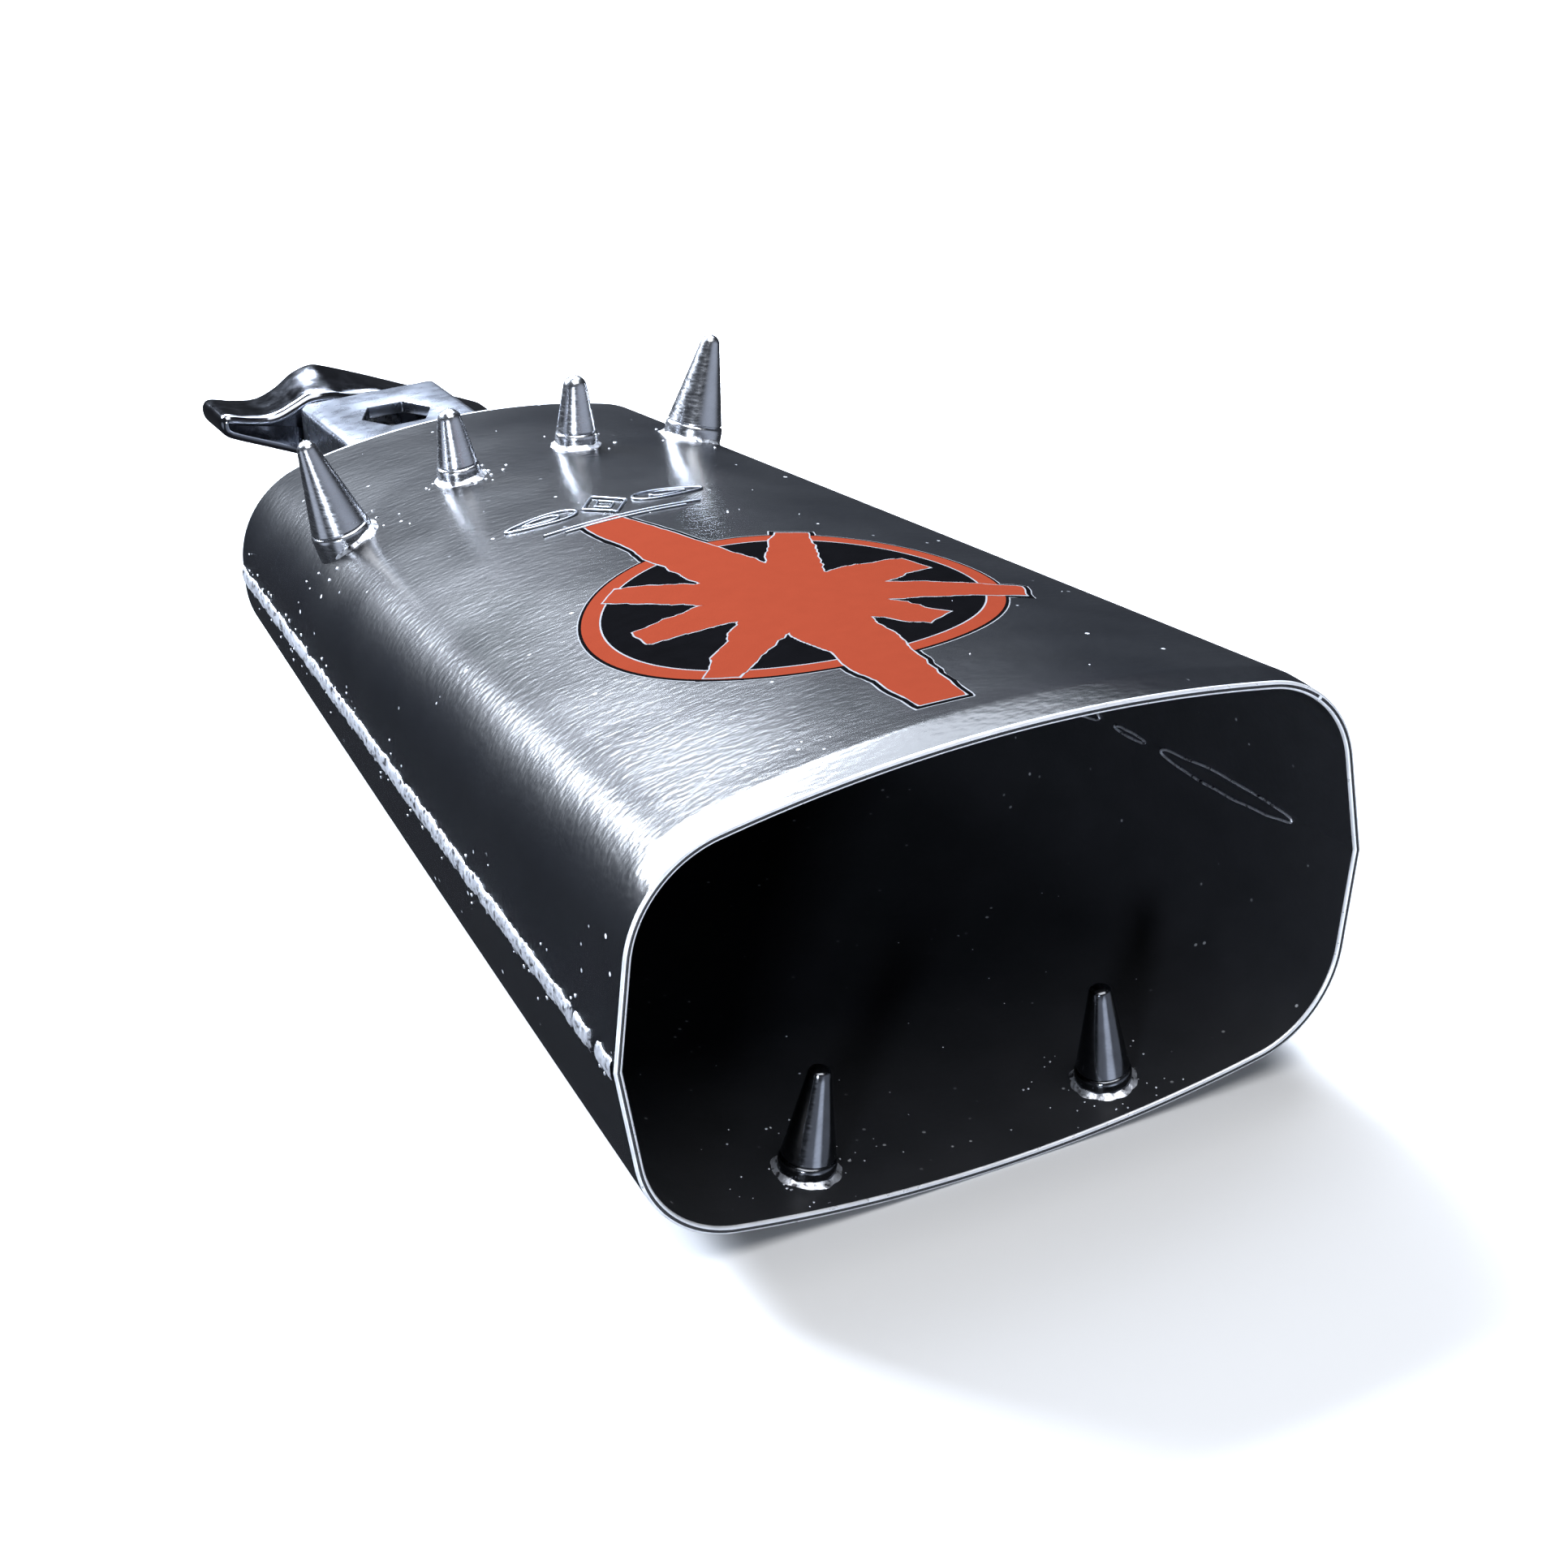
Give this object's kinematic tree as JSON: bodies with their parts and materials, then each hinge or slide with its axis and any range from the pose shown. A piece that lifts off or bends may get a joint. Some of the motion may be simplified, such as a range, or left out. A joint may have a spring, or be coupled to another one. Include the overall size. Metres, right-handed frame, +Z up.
{
  "type": "cowbell",
  "caption": "Tapered steel rock cowbell of welded half shells with cone spikes and a rod clamp with a wing screw.",
  "frame": {"origin": "centre of the object's bounding box at its bottom, which is the surface that the bell lies on", "axes": "+Y from the mouth to the small end and the wing screw, +Z up, +X to the right when looking into the mouth"},
  "size_m": [0.1278, 0.2689, 0.0734],
  "materials": {
    "black_paint": "satin black powder coat with fine orange peel",
    "weld_metal": "bare rippled weld bead",
    "dark_chrome": "polished dark chrome, lightly turned",
    "satin_steel": "satin plated pressed steel",
    "zinc": "bright zinc plate",
    "black_nickel": "glossy black nickel on a die casting"
  },
  "bodies": {
    "bell": {"top_shell": "black_paint", "bottom_shell": "black_paint", "crown_plate": "black_paint", "crown_weld": "weld_metal", "seam_weld_left": "weld_metal", "seam_weld_right": "weld_metal", "rear_spike_outer_left": "dark_chrome", "rear_spike_inner_left": "dark_chrome", "rear_spike_inner_right": "dark_chrome", "rear_spike_outer_right": "dark_chrome", "rear_spike_weld_outer_left": "weld_metal", "rear_spike_weld_inner_left": "weld_metal", "rear_spike_weld_inner_right": "weld_metal", "rear_spike_weld_outer_right": "weld_metal", "mouth_spike_left": "dark_chrome", "mouth_spike_right": "dark_chrome", "mouth_spike_weld_left": "weld_metal", "mouth_spike_weld_right": "weld_metal", "clamp_bracket": "satin_steel", "bracket_weld": "weld_metal", "clamp_bush": "zinc"},
    "cap": {"clamp_cap": "zinc"},
    "wing_screw": {"clamp_screw": "zinc", "wing_handle": "black_nickel"}
  },
  "joints": [
    {"name": "clamp_travel", "type": "slide", "parent": "bell", "child": "cap", "axis": [0, 0.9977, -0.0673], "range_m": [-0.0017, 0.0052]},
    {"name": "wing_turn", "type": "hinge", "parent": "cap", "child": "wing_screw", "pos_m": [0, 0.11973, 0.02474], "axis": [0, 0.9977, -0.0673], "range_deg": [-612.5, 1872.5]}
  ],
  "couplings": [
    {"joint": "wing_turn", "follows": "clamp_travel", "rad_per_m": 6283.2}
  ]
}
